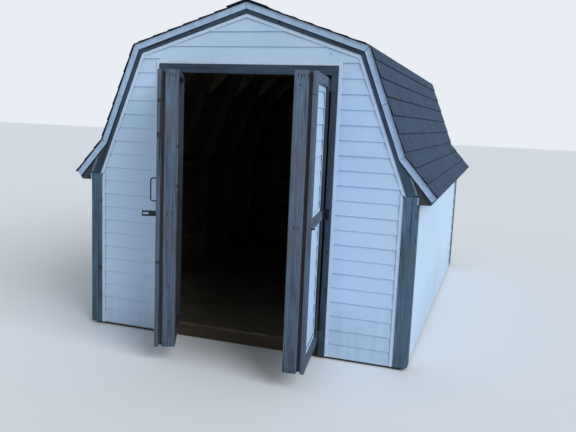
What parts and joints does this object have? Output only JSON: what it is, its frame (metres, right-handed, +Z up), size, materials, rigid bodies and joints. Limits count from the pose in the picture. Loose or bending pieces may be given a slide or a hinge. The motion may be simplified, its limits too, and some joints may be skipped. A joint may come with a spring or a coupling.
{
  "type": "gambrel garden shed",
  "caption": "Gambrel garden shed with flared eaves, lapped siding, a shingled roof and a pair of hinged doors.",
  "frame": {"origin": "on the ground under the middle of the floor, between the side walls and the end walls", "axes": "+X to the right of someone facing the doors, +Y from the doors to the back wall, +Z up"},
  "size_m": [2.7568, 4.3648, 2.4655],
  "materials": {
    "framing_timber": "raw sawn",
    "sheathing_board": "raw board",
    "weathered_timber": "weathered grey",
    "white_vinyl": "matt",
    "asphalt_shingle": "mineral granules",
    "white_metal": "satin",
    "black_iron": "satin"
  },
  "bodies": {
    "shed": {"floor_joists": "framing_timber", "rim_joists": "framing_timber", "floor_deck": "sheathing_board", "wall_plates": "framing_timber", "left_wall_studs": "framing_timber", "right_wall_studs": "framing_timber", "front_wall_studs": "framing_timber", "back_wall_studs": "framing_timber", "door_header": "framing_timber", "left_wall": "sheathing_board", "right_wall": "sheathing_board", "back_wall": "sheathing_board", "front_wall_left": "sheathing_board", "front_wall_right": "sheathing_board", "front_wall_gable": "sheathing_board", "left_siding": "white_vinyl", "right_siding": "white_vinyl", "back_siding": "white_vinyl", "front_siding": "white_vinyl", "left_rafters": "framing_timber", "right_rafters": "framing_timber", "ridge_board": "framing_timber", "knee_plates": "sheathing_board", "left_upper_roof": "asphalt_shingle", "right_upper_roof": "asphalt_shingle", "left_lower_roof": "asphalt_shingle", "right_lower_roof": "asphalt_shingle", "left_flared_eave": "asphalt_shingle", "right_flared_eave": "asphalt_shingle", "ridge_cap": "asphalt_shingle", "rake_strips": "white_metal", "gable_trim": "weathered_timber", "eave_end_boards": "weathered_timber", "eave_boards": "weathered_timber", "eave_soffits": "weathered_timber", "corner_boards": "weathered_timber", "door_casing": "weathered_timber", "casing_hinge_leaves": "black_iron"},
    "left_door": {"left_door_back_frame": "weathered_timber", "left_door_skin": "sheathing_board", "left_door_face_frame": "weathered_timber", "left_door_siding": "white_vinyl", "left_door_hinge_leaves": "black_iron", "door_pull": "black_iron", "hasp_plate": "black_iron"},
    "right_door": {"right_door_back_frame": "weathered_timber", "right_door_skin": "sheathing_board", "right_door_face_frame": "weathered_timber", "right_door_siding": "white_vinyl", "right_door_hinge_leaves": "black_iron", "hasp_staple": "black_iron"},
    "hasp_strap": {"hasp_strap": "black_iron"}
  },
  "joints": [
    {"name": "left_door_hinge", "type": "hinge", "parent": "shed", "child": "left_door", "pos_m": [-0.621, -1.865, 1], "axis": [0, 0, -1], "range_deg": [-65.6, 99.4]},
    {"name": "right_door_hinge", "type": "hinge", "parent": "shed", "child": "right_door", "pos_m": [0.621, -1.865, 1], "axis": [0, 0, 1], "range_deg": [-98.3, 66.7]},
    {"name": "hasp_hinge", "type": "hinge", "parent": "left_door", "child": "hasp_strap", "pos_m": [-0.37248, -2.41166, 1.02], "axis": [0, 0, -1], "range_deg": [-90, 90]}
  ]
}
